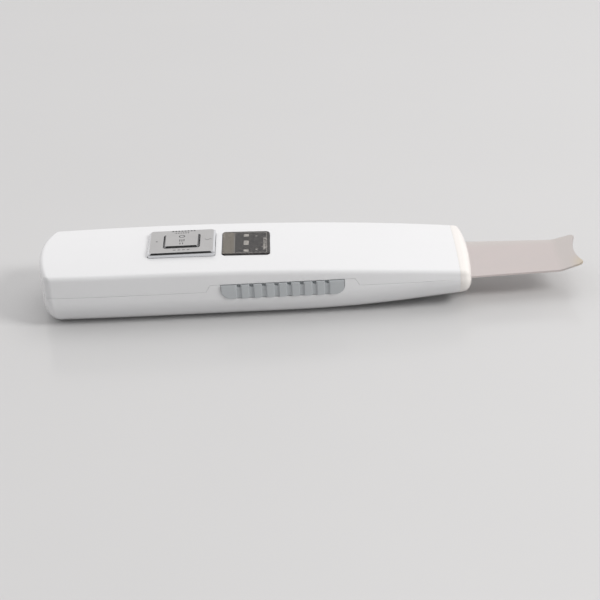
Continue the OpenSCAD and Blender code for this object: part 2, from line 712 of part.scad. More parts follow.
module charge_jack() color(black) difference() {
    union() {
        along_x(jack_mouth_x, 0, jack_z) cylinder(r = jack_collar_r, h = 3);
        translate([jack_body_x, -3.5, jack_z - 3]) cube([jack_body_l, 7, 6]);
    }
    along_x(jack_mouth_x - eps, 0, jack_z) cylinder(r = jack_r, h = jack_depth + eps);
}
module jack_terminals() color(brass) for (side = [-1, 1])
    translate([jack_rear_x, side * 2 - 0.6, board_z - 0.4])
        cube([board_x0 - jack_rear_x + 2.5, 1.2, 0.4]);

module back_mass() color("gray") difference() {
    along_x(stack_x - back_mass_l, 0, axis_z) cylinder(r = stack_r, h = back_mass_l);
    along_x(stack_x - back_mass_l - 1, 0, axis_z) cylinder(r = bolt_r + snug, h = back_mass_l + 2);
}
bolt_head_r = 3.4;
bolt_head_h = 3.6;
bolt_grip = 8;
bolt_x0 = stack_x - back_mass_l;
module preload_bolt() color(black) difference() {
    union() {
        along_x(bolt_x0, 0, axis_z) cylinder(r = bolt_r, h = horn_x + bolt_grip - bolt_x0);
        along_x(bolt_x0 - bolt_head_h, 0, axis_z) cylinder(r = bolt_head_r, h = bolt_head_h);
    }
    along_x(bolt_x0 - bolt_head_h - 1, 0, axis_z) cylinder(r = 1.7, h = 3, $fn = 6);
}
sleeve_t = 0.35;
sleeve_r = bolt_r + snug + sleeve_t;
module insulating_sleeve() color("white") difference() {
    along_x(stack_x, 0, axis_z) cylinder(r = sleeve_r, h = horn_x - stack_x);
    along_x(stack_x - 1, 0, axis_z) cylinder(r = bolt_r + snug, h = horn_x - stack_x + 2);
}
module stack_ring(x, t) difference() {
    along_x(x, 0, axis_z) cylinder(r = stack_r, h = t);
    along_x(x - 1, 0, axis_z) cylinder(r = sleeve_r, h = t + 2);
}
rear_ring_x = stack_x + tab_t;
hot_tab_x = rear_ring_x + ring_t;
front_ring_x = hot_tab_x + tab_t;
module piezo_ring_rear() color(ceramic) stack_ring(rear_ring_x, ring_t);
module piezo_ring_front() color(ceramic) stack_ring(front_ring_x, ring_t);
tab_end_y = stack_r + 3;
module electrode_tab(x, side) {
    stack_ring(x, tab_t);
    translate([x, side > 0 ? stack_r - 0.3 : -tab_end_y, axis_z - 1])
        cube([tab_t, tab_end_y - stack_r + 0.3, 2]);
}
module electrode_tabs() color(brass) {
    electrode_tab(stack_x, -1);
    electrode_tab(hot_tab_x, 1);
}

// the horn narrows to a flat tongue that carries the blade
tongue_x0 = nose_x - 23;
tongue_x1 = nose_x - 8;
tongue_t = 3;
neck_r = 3.5;
module transducer_horn() color("silver") difference() {
    union() {
        along_x(horn_x, 0, axis_z) cylinder(r = stack_r, h = 12);
        along_x(horn_x + 12, 0, axis_z) cylinder(r1 = stack_r, r2 = neck_r, h = 5);
        along_x(horn_x + 17, 0, axis_z)
            cylinder(r = neck_r, h = shank_x0 - horn_x - 17.5);
        translate([tongue_x0, -shank_w/2, axis_z - tongue_t])
            cube([tongue_x1 - tongue_x0, shank_w, tongue_t]);
    }
    along_x(horn_x - 1, 0, axis_z) cylinder(r = bolt_r, h = bolt_grip + 2);
    for (x = clamp_spots) translate([x, 0, 0]) peg(blade_screw_r, 0, axis_z + eps);
}
lead_y = bush_r + rib_side + 1.2;
module transducer_lead(side, end_x) tube([[board_x1 - 2, side * 5, board_z],
    [board_x1 - 2, side * 5, board_z - 1], [board_x1 + 1, side * 8, board_z - 2.6],
    [rear_bush_x - 5, side * lead_y, axis_z], [rear_bush_x + 4, side * lead_y, axis_z],
    [end_x - 4, side * (tab_end_y - 0.6), axis_z], [end_x - 1, side * (tab_end_y - 1), axis_z],
    [end_x, side * (tab_end_y - 1), axis_z]], wire_r);
module transducer_leads() color(lead_red) {
    transducer_lead(-1, stack_x);
    transducer_lead(1, hot_tab_x);
}
module bush(x) difference() {
    along_x(x - bush_l/2, 0, axis_z) cylinder(r = bush_r, h = bush_l);
    along_x(x - bush_l, 0, axis_z) cylinder(r = stack_r, h = 2*bush_l);
}
module front_bush() color(silicone) bush(front_bush_x);
module rear_bush() color(silicone) bush(rear_bush_x);

clamp_t = 1.5;
clamp_z = blade_z + blade_t/2;
module blade_clamp() color("silver") difference() {
    translate([nose_x - 20.5, -shank_w/2, clamp_z]) cube([11, shank_w, clamp_t]);
    for (x = clamp_spots) translate([x, 0, 0]) peg(blade_screw_r + snug, 0, clamp_z + 5);
}
module blade_screws() color(steel) for (x = clamp_spots) translate([x, 0, 0]) difference() {
    union() {
        peg(blade_screw_r, axis_z - tongue_t, clamp_z + clamp_t + snug/2);
        peg(1.9, clamp_z + clamp_t, clamp_z + clamp_t + 1.3);
    }
    for (turn = [0, 90]) rotate([0, 0, turn])
        translate([0, 0, clamp_z + clamp_t + 0.7]) block(2, 0.5, 1);
}

upper_shell();
lower_shell();
nose_cap();
blade_seal();
scraper_blade();
key_plate();
mode_button();
display_window();
light_baffle();
status_leds();
side_grip_left();
side_grip_right();
housing_screws();
main_board();
board_screws();
switch_body();
switch_cover();
switch_plunger();
controller_chip();
board_components();
transformer_core();
transformer_winding();
smoothing_capacitor();
battery_cell();
battery_tabs();
battery_pad();
battery_leads();
charge_jack();
jack_terminals();
back_mass();
preload_bolt();
insulating_sleeve();
piezo_ring_rear();
piezo_ring_front();
electrode_tabs();
transducer_horn();
transducer_leads();
front_bush();
rear_bush();
blade_clamp();
blade_screws();
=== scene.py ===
import json
import math
import bmesh
import bpy
from mathutils import Matrix, Vector


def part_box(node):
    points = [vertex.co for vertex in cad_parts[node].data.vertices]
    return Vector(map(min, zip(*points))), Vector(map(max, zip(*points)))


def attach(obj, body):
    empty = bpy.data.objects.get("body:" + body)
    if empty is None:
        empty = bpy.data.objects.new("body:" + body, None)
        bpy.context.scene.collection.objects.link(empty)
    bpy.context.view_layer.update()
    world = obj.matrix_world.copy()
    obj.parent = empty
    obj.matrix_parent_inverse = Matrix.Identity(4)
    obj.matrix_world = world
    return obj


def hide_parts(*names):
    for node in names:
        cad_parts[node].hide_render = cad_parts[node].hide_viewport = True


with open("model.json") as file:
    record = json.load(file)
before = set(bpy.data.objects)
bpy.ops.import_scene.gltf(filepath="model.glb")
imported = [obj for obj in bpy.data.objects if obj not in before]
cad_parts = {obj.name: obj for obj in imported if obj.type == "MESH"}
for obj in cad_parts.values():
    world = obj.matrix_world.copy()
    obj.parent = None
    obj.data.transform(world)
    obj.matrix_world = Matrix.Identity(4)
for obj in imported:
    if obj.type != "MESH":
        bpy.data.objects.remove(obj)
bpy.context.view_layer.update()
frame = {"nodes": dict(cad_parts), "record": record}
mm = 0.001


def span(node):
    low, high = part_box(node)
    return low / mm, high / mm


# the camera stands in front of the handle and looks down at it, slightly rolled
view = dict(aim=(-4.67, 0, -3.77), distance=666.7, elevation=27, roll=0.047, lens=105.2, sensor=36)
tilt = math.radians(view["elevation"])
back = Vector((0, -math.cos(tilt), math.sin(tilt)))
level = Vector((1, 0, 0))
upright = back.cross(level)
right = math.cos(view["roll"]) * level - math.sin(view["roll"]) * upright
up = math.sin(view["roll"]) * level + math.cos(view["roll"]) * upright
stand = Vector(view["aim"]) + view["distance"] * back
camera = bpy.data.objects.new("camera", bpy.data.cameras.new("camera"))
bpy.context.scene.collection.objects.link(camera)
camera.data.lens = view["lens"]
camera.data.sensor_width = view["sensor"]
camera.data.clip_end = 50
camera.matrix_world = Matrix.Translation(stand * mm) @ Matrix((right, up, back)).transposed().to_4x4()
bpy.context.scene.camera = camera
print("camera ready")


# materials: a wire is one socket that takes part in sums, and a finish is one material
class Wire:
    def __init__(self, finish, socket):
        self.finish = finish
        self.socket = socket

    def __add__(self, other):
        return self.finish.maths("ADD", self, other)

    def __sub__(self, other):
        return self.finish.maths("SUBTRACT", self, other)

    def __rsub__(self, other):
        return self.finish.maths("SUBTRACT", other, self)

    def __mul__(self, other):
        return self.finish.maths("MULTIPLY", self, other)

    def __truediv__(self, other):
        return self.finish.maths("DIVIDE", self, other)

    def __gt__(self, other):
        return self.finish.maths("GREATER_THAN", self, other)

    def __lt__(self, other):
        return self.finish.maths("LESS_THAN", self, other)

    def __mod__(self, other):
        return self.finish.maths("FLOORED_MODULO", self, other)

    def __abs__(self):
        return self.finish.maths("ABSOLUTE", self)

    def clamped(self):
        return self.finish.maths("ADD", self, 0, clamp=True)

    def larger(self, other):
        return self.finish.maths("MAXIMUM", self, other)

    __radd__ = __add__


class Finish:
    def __init__(self, name):
        self.material = bpy.data.materials.new(name)
        self.material.use_nodes = True
        self.tree = self.material.node_tree
        self.tree.nodes.clear()
        place = self.node("VectorMath", {"operation": "SCALE"}, {
            0: Wire(self, self.node("TexCoord").outputs["Object"]), "Scale": 1 / mm})
        self.place = Wire(self, place.outputs[0])
        parts = self.node("SeparateXYZ", {}, {0: self.place})
        self.x, self.y, self.z = [Wire(self, out) for out in parts.outputs]

    # the settings are set first, then the sockets get their values or links
    def node(self, kind, settings=None, sockets=None):
        made = self.tree.nodes.new("ShaderNode" + kind)
        for key, value in (settings or {}).items():
            setattr(made, key, value)
        for key, value in (sockets or {}).items():
            if isinstance(value, Wire):
                self.tree.links.new(value.socket, made.inputs[key])
            else:
                made.inputs[key].default_value = value
        return made

    def maths(self, operation, *values, clamp=False):
        made = self.node("Math", {"operation": operation, "use_clamp": clamp}, dict(enumerate(values)))
        return Wire(self, made.outputs[0])

    def mix(self, factor, first, second):
        first, second = [c if isinstance(c, Wire) else (*c, 1) for c in (first, second)]
        made = self.node("Mix", {"data_type": "RGBA"}, {0: factor, 6: first, 7: second})
        return Wire(self, made.outputs[2])

    # grain with features of about the given size in millimetres, stretched along an axis if asked
    def grain(self, size, stretch=(1, 1, 1), detail=3, roughness=0.5):
        place = self.node("VectorMath", {"operation": "MULTIPLY"}, {
            0: self.place, 1: [1 / (size * s) for s in stretch]})
        made = self.node("TexNoise", {"noise_dimensions": "3D"}, {
            "Vector": Wire(self, place.outputs[0]), "Scale": 1, "Detail": detail, "Roughness": roughness})
        return Wire(self, made.outputs["Fac"])

    def facing(self):
        normal = self.node("NewGeometry").outputs["Normal"]
        parts = self.node("SeparateXYZ", {}, {0: Wire(self, normal)})
        return [Wire(self, out) for out in parts.outputs]

    # a soft-edged band and a soft-edged box, in millimetres
    def band(self, value, centre, half, soft=0.06):
        return ((half - abs(value - centre)) / soft + 0.5).clamped()

    def patch(self, centre, half, soft=0.06):
        return self.band(self.x, centre[0], half[0], soft) * self.band(self.y, centre[1], half[1], soft)

    def surface(self, colour, rough, height=None, strength=1, **fixed):
        colour = colour if isinstance(colour, Wire) else (*colour, 1)
        sockets = {"Base Color": colour, "Roughness": rough}
        if height is not None:
            bump = self.node("Bump", {}, {"Height": height, "Distance": mm, "Strength": strength})
            sockets["Normal"] = Wire(self, bump.outputs[0])
        shader = self.node("BsdfPrincipled", {}, {**sockets, **fixed})
        end = self.node("OutputMaterial")
        self.tree.links.new(shader.outputs[0], end.inputs["Surface"])
        return self.material


def shade(colour, factor):
    return tuple(c * factor for c in colour)


# moulded gloss plastic: a faint orange peel, slightly uneven gloss and a trace of colour drift
def glossPlastic(name, colour, rough=0.2, peel=0.0012, coat=0.25):
    f = Finish(name)
    drift = f.grain(38, detail=2)
    haze = f.grain(7, detail=3)
    return f.surface(f.mix(drift, shade(colour, 0.975), shade(colour, 1.012)), rough - 0.04 + haze * 0.08,
        f.grain(1.6, detail=2) * peel + f.grain(0.35, detail=2) * peel * 0.25,
        **{"Coat Weight": coat, "Coat Roughness": 0.06, "IOR": 1.49})


# satin plastic with a spark-eroded grain
def grainPlastic(name, colour, rough=0.42, grain=0.28, depth=0.012):
    f = Finish(name)
    specks = f.grain(grain, detail=4, roughness=0.6)
    worn = f.grain(9, detail=3)
    return f.surface(f.mix(worn, shade(colour, 0.94), shade(colour, 1.04)), rough - 0.05 + specks * 0.1,
        specks * depth, **{"IOR": 1.47})


def softRubber(name, colour, rough=0.6):
    f = Finish(name)
    bloom = f.grain(5, detail=4)
    return f.surface(f.mix(bloom, shade(colour, 0.9), shade(colour, 1.05)), rough + bloom * 0.12,
        f.grain(0.5, detail=4) * 0.01)


# metal with fine lines along one axis
def brushedMetal(name, colour, rough=0.3, along=(30, 1, 1), line=0.12, depth=0.002, spread=0.1):
    f = Finish(name)
    lines = f.grain(line, along, detail=3)
    cloud = f.grain(11, detail=3)
    tone = f.mix(cloud, shade(colour, 0.95), shade(colour, 1.03))
    return f.surface(tone, rough - spread / 2 + lines * spread + cloud * 0.05, lines * depth, Metallic=1)


def turnedMetal(name, colour, rough=0.32):
    f = Finish(name)
    rings = f.grain(0.25, (1, 40, 40), detail=3)
    stain = f.grain(4, detail=4)
    return f.surface(f.mix(stain, shade(colour, 0.88), shade(colour, 1.05)), rough + rings * 0.12,
        rings * 0.004, Metallic=1)


# solder mask over copper tracks on a square lattice
def boardMask(name, colour, track):
    f = Finish(name)
    wander = f.grain(9, detail=0)
    runs = f.band((f.x + wander * 6) % 2.4, 1.2, 0.28) * (f.grain(11, detail=0) > 0.47)
    rungs = f.band((f.y + wander * 4) % 3.1, 1.5, 0.28) * (f.grain(8, detail=0) > 0.52)
    tracks = runs.larger(rungs)
    pads = f.band(f.x % 5.08, 2.54, 0.5) * f.band(f.y % 5.08, 2.54, 0.5)
    tone = f.mix(tracks, colour, track)
    return f.surface(f.mix(pads, tone, (0.62, 0.6, 0.55)), 0.38 - pads * 0.1 + f.grain(2) * 0.08,
        tracks * 0.03 + pads * 0.05, Metallic=pads * 0.8)


# enamelled wire laid in even turns, one over the other along Z; each turn is painted lighter on its crest
# and much darker between turns, a painted highlight and painted shade
def woundWire(name, colour):
    f = Finish(name)
    turn = abs(f.z % 0.36 - 0.18) / 0.18
    return f.surface(f.mix(turn, shade(colour, 1.1), shade(colour, 0.35)), 0.25 + turn * 0.25,
        (1 - turn * turn) * 0.12, Metallic=0.75)


# foam with round cells, painted darker where its surface sinks: painted shade in the pits
def speckledFoam(name, colour):
    f = Finish(name)
    cells = f.node("TexVoronoi", {"feature": "F1"}, {"Vector": f.place, "Scale": 1.6})
    pits = Wire(f, cells.outputs["Distance"])
    return f.surface(f.mix(pits, shade(colour, 1.2), shade(colour, 0.4)), 0.9, pits * -0.25)


def firedCeramic(name, colour):
    f = Finish(name)
    silver = f.grain(0.6, detail=3) > 0.62
    return f.surface(f.mix(silver * 0.35, colour, (0.7, 0.69, 0.66)), 0.42 + f.grain(1.2) * 0.15,
        f.grain(0.4) * 0.006)


# a shrink film over the cell, with one pale band and a lengthwise sheen; the creases are painted up to a
# tenth darker where they sink, a painted shade
def shrinkFilm(name, colour):
    f = Finish(name)
    stripe = f.band(f.x, span("battery_cell")[1].x - 4, 1.6)
    crease = f.grain(3, (6, 1, 1), detail=4)
    return f.surface(f.mix(stripe, f.mix(crease, shade(colour, 0.9), colour), (0.9, 0.91, 0.92)),
        0.22 + crease * 0.14, crease * 0.05, **{"Coat Weight": 0.4})


def litLamp(name, colour):
    f = Finish(name)
    die = f.band(f.z, span("status_leds")[1].z, 0.25)
    return f.surface(f.mix(die, colour, (1, 0.98, 0.9)), 0.15 + f.grain(1) * 0.08, f.grain(0.4) * 0.002,
        **{"Coat Weight": 0.5})


def canMetal(name, colour):
    f = Finish(name)
    low, high = span("smoothing_capacitor")
    sleeve = (f.z > low.z + 0.35) * (f.z < high.z - 0.2)
    stripe = sleeve * f.band(f.y, low.y, 0.9)
    tone = f.mix(stripe, f.mix(sleeve, (0.74, 0.75, 0.77), colour), (0.82, 0.83, 0.84))
    return f.surface(tone, 0.24 + sleeve * 0.14 + f.grain(1.5) * 0.05, f.grain(0.5) * 0.004,
        Metallic=1 - sleeve * 0.85)


print("material makers ready")

# the handle's form: its ends and width come from the frame, its curves from these values
handle = dict(crown=1.3, wall=1.8, bellyR=10, rimR=1.8, draft=0.5, tailBow=3.6, bowFade=18.5, tailR=2.6,
    heelR=6.5, noseR=3.4, topFall=5.4, topBend=40, bellyRise=4.4, bellyBend=68, noseTaper=1.1,
    taperBend=53, tailTaper=0.8, waist=40, cornerShare=0.7, seamLow=12.4, seamHigh=15.1, stepL=1.6,
    stepMargin=4, seamGap=0.05, seamEdge=0.1, neckInset=1, neckL=2.4, noseBow=0.9)
# the smallest radii that the inside of a rounded end keeps, at its side, top and heel
leastR = (0.4, 0.3, 1)
tailEnds = (handle["tailR"], handle["rimR"], handle["heelR"])
gripLow, gripHigh = span("side_grip_left")
gripLow += Vector((0.8, 0, 0.8))
gripHigh.x -= 0.8
noseX = span("nose_cap")[1].x
capX = span("nose_cap")[0].x
tailX = -span("scraper_blade")[1].x
halfWidth = span("lower_shell")[1].y
sideTop = span("upper_shell")[1].z - handle["crown"]
jackLow, jackHigh = span("charge_jack")
jackZ = (jackLow.z + jackHigh.z) / 2
jackHoleR = 2.76
stepX = [gripLow.x - handle["stepMargin"] - handle["stepL"], gripHigh.x + handle["stepMargin"]]


def past(x, start, end):
    return max(0.0, (x - start) / (end - start))


def mixed(a, b, share):
    return a + (b - a) * share


def within(value, low, high):
    return min(high, max(low, value))


def sideY(x):
    return (halfWidth - handle["noseTaper"] * past(x, noseX - handle["taperBend"], noseX) ** 2
        - handle["tailTaper"] * past(-x, -(tailX + handle["waist"]), -tailX) ** 2)


def edgeZ(x):
    return sideTop - handle["topFall"] * past(x, tailX + handle["topBend"], noseX) ** 2


def bellyZ(x):
    return handle["bellyRise"] * past(x, noseX - handle["bellyBend"], noseX) ** 2


def seamZ(x):
    rise = within((x - stepX[0]) / handle["stepL"], 0, 1) - within((x - stepX[1]) / handle["stepL"], 0, 1)
    return mixed(handle["seamLow"], handle["seamHigh"], rise)


def bow(x, y, inset):
    fade = within(1 - (x - tailX - inset - handle["heelR"]) / handle["bowFade"], 0, 1)
    nose = handle["noseBow"] * past(x, capX, noseX) ** 2 if inset == 0 else 0
    return (handle["tailBow"] * fade - nose) * (y / sideY(x)) ** 2


# the radii of a rounded end at its side, top and heel
def insetRadii(ends, inset):
    return [max(radius - inset, least) for radius, least in zip(ends, leastR)]


# one point of the cross-section at x, inset from the outside; ends holds the radii of the rounded
# end at the side, top and belly, and turn is the angle through that rounding, 90 degrees when past it
def sectionPoint(column, x, inset, ends, turn, seam=None):
    kind, share = column
    tuck = 1 - math.sin(turn)
    atSide, atTop, atHeel = insetRadii(ends, inset)
    width = sideY(x) - inset - tuck * atSide
    top = edgeZ(x) - inset - tuck * atTop
    low = bellyZ(x) + inset + tuck * atHeel
    corner = handle["bellyR"] - inset
    cornerH = min(corner, handle["cornerShare"] * (top - low))
    rim = max(handle["rimR"] - inset, leastR[1])
    rimY = width - handle["draft"] - rim
    foot = low + cornerH
    angle = share * math.pi / 2
    if kind == "crown":
        return rimY * share, top + handle["crown"] * (1 - share ** 2)
    if kind == "rim":
        return rimY + rim * math.sin(angle), top - rim + rim * math.cos(angle)
    if kind == "flat":
        return (width - corner) * (1 - share), low
    turnIn = foot if seam is None else min(foot, seam)
    if kind == "belly":
        start = math.asin(within((foot - turnIn) / cornerH, 0, 1))
        angle = mixed(start, math.pi / 2, share)
        return width - corner + corner * math.cos(angle), low + cornerH * (1 - math.sin(angle))
    # the side wall from the rim to the seam, or from the seam to where the belly turns in
    if kind == "side":
        z = mixed(top - rim, foot if seam is None else seam, share)
    else:
        z = mixed(seam, turnIn, share)
    if z >= foot:
        return mixed(width, width - handle["draft"], (z - foot) / (top - rim - foot)), z
    return width - corner + corner * math.sqrt(1 - ((foot - z) / cornerH) ** 2), z


# the radius of the tail's rounding, which differs between its side, top and heel
def tailRadius(column, inset):
    kind, share = column
    swing = math.sin(share * math.pi / 2) ** 2
    side, top, heel = insetRadii(tailEnds, inset)
    return {"crown": top, "rim": mixed(top, side, swing), "side": side, "wall": side,
        "belly": mixed(side, heel, swing), "flat": heel}[kind]


# how far round the rounding of an end a row is: none on the end's face, all of it past the rounding
def turnOf(stage, value):
    return {"turn": value, "face": 0}.get(stage, math.pi / 2)


def shellPoint(row, column, side, inset, lift):
    stage, value = row[:2]
    inset += row[2] if len(row) > 2 else 0
    turn = turnOf(stage, value)
    x = value if stage == "run" else tailX + inset + tailRadius(column, inset) * (1 - math.cos(turn))
    y, z = sectionPoint(column, x, inset, tailEnds, turn, seamZ(x) + lift)
    if stage == "face":
        away = Vector((y, z - jackZ))
        hole = away.normalized() * jackHoleR
        y, z = mixed(hole, away, value)
        z += jackZ
    return Vector((x + bow(x, y, inset), side * y, z))


# a grid whose points are put in place one by one
def sheet(bm, rows, columns, place):
    made = bmesh.ops.create_grid(bm, x_segments=len(rows) - 1, y_segments=len(columns) - 1, size=1)
    for v in made["verts"]:
        row = rows[round((v.co.x + 1) / 2 * (len(rows) - 1))]
        column = columns[round((v.co.y + 1) / 2 * (len(columns) - 1))]
        v.co = place(row, column)
    return made["verts"]


def borders(verts):
    return list({e for v in verts for e in v.link_edges if e.is_boundary})


def steps(kind, count):
    return [(kind, k / count) for k in range(count + 1)]


# a half section from its parts in turn, where the last step of one is the first of the next
def halfSection(*parts):
    return [step for part in parts[:-1] for step in steps(*part)[:-1]] + steps(*parts[-1])


# both sides of a half section that starts at the middle
def bothSides(half):
    return [(c, -1) for c in reversed(half[1:])] + [(c, 1) for c in half]


rowPlan = dict(start=2, spacing=3, clear=0.9, neckStep=0.02, neckShare=0.4)
# how close to the seam, and how clear of the neck and the socket's hole, an edge of the seam lies
seamTest = dict(seam=0.02, neck=0.1, hole=0.01)
turnRows = [("turn", math.radians(9 * k)) for k in range(11)]
faceRows = steps("face", 4)


def runRows():
    breaks = [x + d for x in stepX for d in (0, handle["stepL"])]
    start = tailX + handle["heelR"] + rowPlan["start"]
    count = round((capX - start) / rowPlan["spacing"])
    spaced = [mixed(start, capX, k / count) for k in range(count + 1)]
    clear = [x for x in spaced if all(abs(x - b) > rowPlan["clear"] for b in breaks)]
    return [("run", x) for x in sorted(clear + breaks)]


def bevelled(bm, geom, width, segments, affect="EDGES", clamp=False):
    bmesh.ops.bevel(bm, geom=geom, offset=width, offset_type="OFFSET", segments=segments, profile=0.5,
        affect=affect, material=-1, clamp_overlap=clamp)


# one half of the handle: an outer sheet, an inner sheet and a bridge along their borders
def shellMesh(half, lift):
    bm = bmesh.new()
    columns = bothSides(half)
    body = faceRows[:-1] + turnRows + runRows()
    neckX = capX + handle["neckL"]
    neck = handle["neckInset"]
    outer = sheet(bm, body + [("run", capX + rowPlan["neckStep"], neck), ("run", neckX, neck)], columns,
        lambda row, c: shellPoint(row, c[0], c[1], 0, lift))
    rim = borders(outer)
    inner = sheet(bm, body + [("run", mixed(capX, neckX, rowPlan["neckShare"])), ("run", neckX)], columns,
        lambda row, c: shellPoint(row, c[0], c[1], handle["wall"], lift))
    bmesh.ops.bridge_loops(bm, edges=rim + borders(inner))
    bmesh.ops.recalc_face_normals(bm, faces=bm.faces)

    def onSeam(v):
        x, y, z = v.co
        beside = x < capX - seamTest["neck"] and abs(y) > jackHoleR + seamTest["hole"]
        return beside and abs(z - seamZ(x) - lift) < seamTest["seam"]

    bevelled(bm, [e for e in rim if all(onSeam(v) for v in e.verts)], handle["seamEdge"], 2)
    return bm


# a piece in metres from a mesh made in millimetres
def placed(name, bm):
    bmesh.ops.recalc_face_normals(bm, faces=bm.faces)
    bmesh.ops.scale(bm, vec=(mm, mm, mm), verts=bm.verts)
    mesh = bpy.data.meshes.new(name)
    bm.to_mesh(mesh)
    bm.free()
    piece = bpy.data.objects.new(name, mesh)
    bpy.context.scene.collection.objects.link(piece)
    return piece


# the piece's mesh takes on what its modifiers make of it
def settle(piece):
    graph = bpy.context.evaluated_depsgraph_get()
    mesh = bpy.data.meshes.new_from_object(piece.evaluated_get(graph), depsgraph=graph)
    piece.modifiers.clear()
    piece.data = mesh


def cutAway(piece, shapes):
    cutters = [placed("cutter", bm) for bm in shapes]
    for cutter in cutters:
        cut = piece.modifiers.new("cut", "BOOLEAN")
        cut.operation = "DIFFERENCE"
        cut.solver = "EXACT"
        cut.object = cutter
    settle(piece)
    for cutter in cutters:
        bpy.data.objects.remove(cutter)


def weldOn(piece, parts):
    for part in parts:
        other = placed("part", part)
        weld = piece.modifiers.new("weld", "BOOLEAN")
        weld.operation = "UNION"
        weld.solver = "EXACT"
        weld.object = other
        settle(piece)
        bpy.data.objects.remove(other)


def smoothed(piece, sharpAngle=32):
    bm = bmesh.new()
    bm.from_mesh(piece.data)
    bmesh.ops.remove_doubles(bm, verts=bm.verts, dist=1e-7)
    for face in bm.faces:
        face.smooth = True
    for edge in bm.edges:
        edge.smooth = edge.calc_face_angle(0) < math.radians(sharpAngle)
    bm.to_mesh(piece.data)
    bm.free()


# small rounded edges that catch the light, with flat faces kept flat
def softEdges(piece, width, segments, angle):
    bevel = piece.modifiers.new("edges", "BEVEL")
    bevel.width = width * mm
    bevel.segments = segments
    bevel.limit_method = "ANGLE"
    bevel.angle_limit = math.radians(angle)
    bevel.miter_outer = "MITER_ARC"


def evenNormals(piece):
    even = piece.modifiers.new("normals", "WEIGHTED_NORMAL")
    even.keep_sharp = True
    even.weight = 60


def edgesAndNormals(piece, width, segments=3, angle=30, sharpAngle=50):
    softEdges(piece, width, segments, angle)
    settle(piece)
    smoothed(piece, sharpAngle)
    evenNormals(piece)


def finished(piece, material, slotName, *nodes, body="housing"):
    piece.data.materials.clear()
    piece.data.materials.append(material)
    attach(piece, body)
    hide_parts(*nodes)
    return piece


def only(geom, kind):
    return [g for g in geom if isinstance(g, kind)]


# a size with the same amount added on all four sides
def grown(size, amount):
    return [s + 2 * amount for s in size]


# a block with rounded upright corners
def slab(size, radius, low, high, centre=(0, 0), rounding=8):
    bm = bmesh.new()
    bmesh.ops.create_grid(bm, x_segments=1, y_segments=1, size=0.5)
    bmesh.ops.scale(bm, vec=(size[0], size[1], 1), verts=bm.verts)
    bevelled(bm, bm.verts[:], radius, rounding, "VERTICES")
    bmesh.ops.translate(bm, vec=(*centre, low), verts=bm.verts)
    raised = bmesh.ops.extrude_face_region(bm, geom=bm.faces[:])["geom"]
    bmesh.ops.translate(bm, vec=(0, 0, high - low), verts=only(raised, bmesh.types.BMVert))
    bmesh.ops.recalc_face_normals(bm, faces=bm.faces)
    return bm


def rod(radius, low, high, centre, sides=48):
    bm = bmesh.new()
    bmesh.ops.create_cone(bm, cap_ends=True, segments=sides, radius1=radius, radius2=radius,
        depth=high - low)
    bmesh.ops.translate(bm, vec=(*centre, (low + high) / 2), verts=bm.verts)
    return bm


def topFace(bm):
    return max(bm.faces, key=lambda f: f.calc_center_median().z)


# raises the top face and draws it in, so that its edges slope at 45 degrees
def slopedTop(bm, size, slope):
    top = topFace(bm)
    raised = bmesh.ops.extrude_face_region(bm, geom=[top])["geom"]
    bmesh.ops.delete(bm, geom=[top], context="FACES_ONLY")
    verts = only(raised, bmesh.types.BMVert)
    bmesh.ops.translate(bm, vec=(0, 0, slope), verts=verts)
    shrink = [1 - 2 * slope / s for s in size]
    bmesh.ops.scale(bm, vec=(*shrink, 1), space=Matrix.Translation((-keyX, 0, 0)), verts=verts)


white = (0.86, 0.865, 0.875)
cream = (0.92, 0.885, 0.85)
gripTone = (0.53, 0.555, 0.57)
shellPlastic = glossPlastic("shellPlastic", white)
capPlastic = glossPlastic("capPlastic", cream, rough=0.26)
gripPlastic = grainPlastic("gripPlastic", gripTone)

plateLow, plateHigh = span("key_plate")
buttonLow, buttonHigh = span("mode_button")
windowLow, windowHigh = span("display_window")
keyX = (plateLow.x + plateHigh.x) / 2
plate = dict(corner=1.2, slope=0.65, gap=0.35, edge=0.09, snug=0.1)
button = dict(length=13, width=11, corner=0.6, slope=0.5, lip=0.85, lipT=0.8, stemR=2, edge=0.06, seat=0.1,
    sink=0.02, stemGap=0.1)
window = dict(length=17.8, width=20, thick=1.3, corner=1.5, edge=0.35, ledge=1.4, proud=0.15)
plateSize = (plateHigh.x - plateLow.x, plateHigh.y - plateLow.y)
buttonSize = (button["length"], button["width"])
windowSize = (window["length"], window["width"])
windowX = (windowLow.x + windowHigh.x) / 2
windowTilt = math.atan(2 * handle["topFall"] * past(windowX, tailX + handle["topBend"], noseX)
    / (noseX - tailX - handle["topBend"]))
windowTop = edgeZ(windowX) + handle["crown"] + window["proud"]
screw = dict(headR=2.1, clear=0.1, tailY=10, bossR=3.1, joint=9, shaftR=1.15, seat=5.5, sink=0.9)
screwLow, screwHigh = span("housing_screws")
screwFront = (screwHigh.x - screw["headR"], screwHigh.y - screw["headR"])
screwRear = (screwLow.x + screw["headR"], screw["tailY"])
screwSpots = [(*screwRear, screw["seat"]), (*screwFront, bellyZ(screwFront[0]) + handle["wall"])]


# hidden cuts: their corners, the play around the button's lip, and the heights that they run between
cuts = dict(corner=0.4, above=30, roomLow=12, room=0.3, seatAbove=10, seatBelow=-6, below=-1, shaftTop=10)
gripHole = dict(grow=0.18, height=16, corner=3.5, depth=3)


# a slab that lies in the tilted seat of the window, from low to high under its top face
def inWindowSeat(bm):
    bmesh.ops.rotate(bm, cent=(0, 0, 0), matrix=Matrix.Rotation(windowTilt, 3, "Y"), verts=bm.verts)
    bmesh.ops.translate(bm, vec=(windowX, 0, windowTop), verts=bm.verts)
    return bm


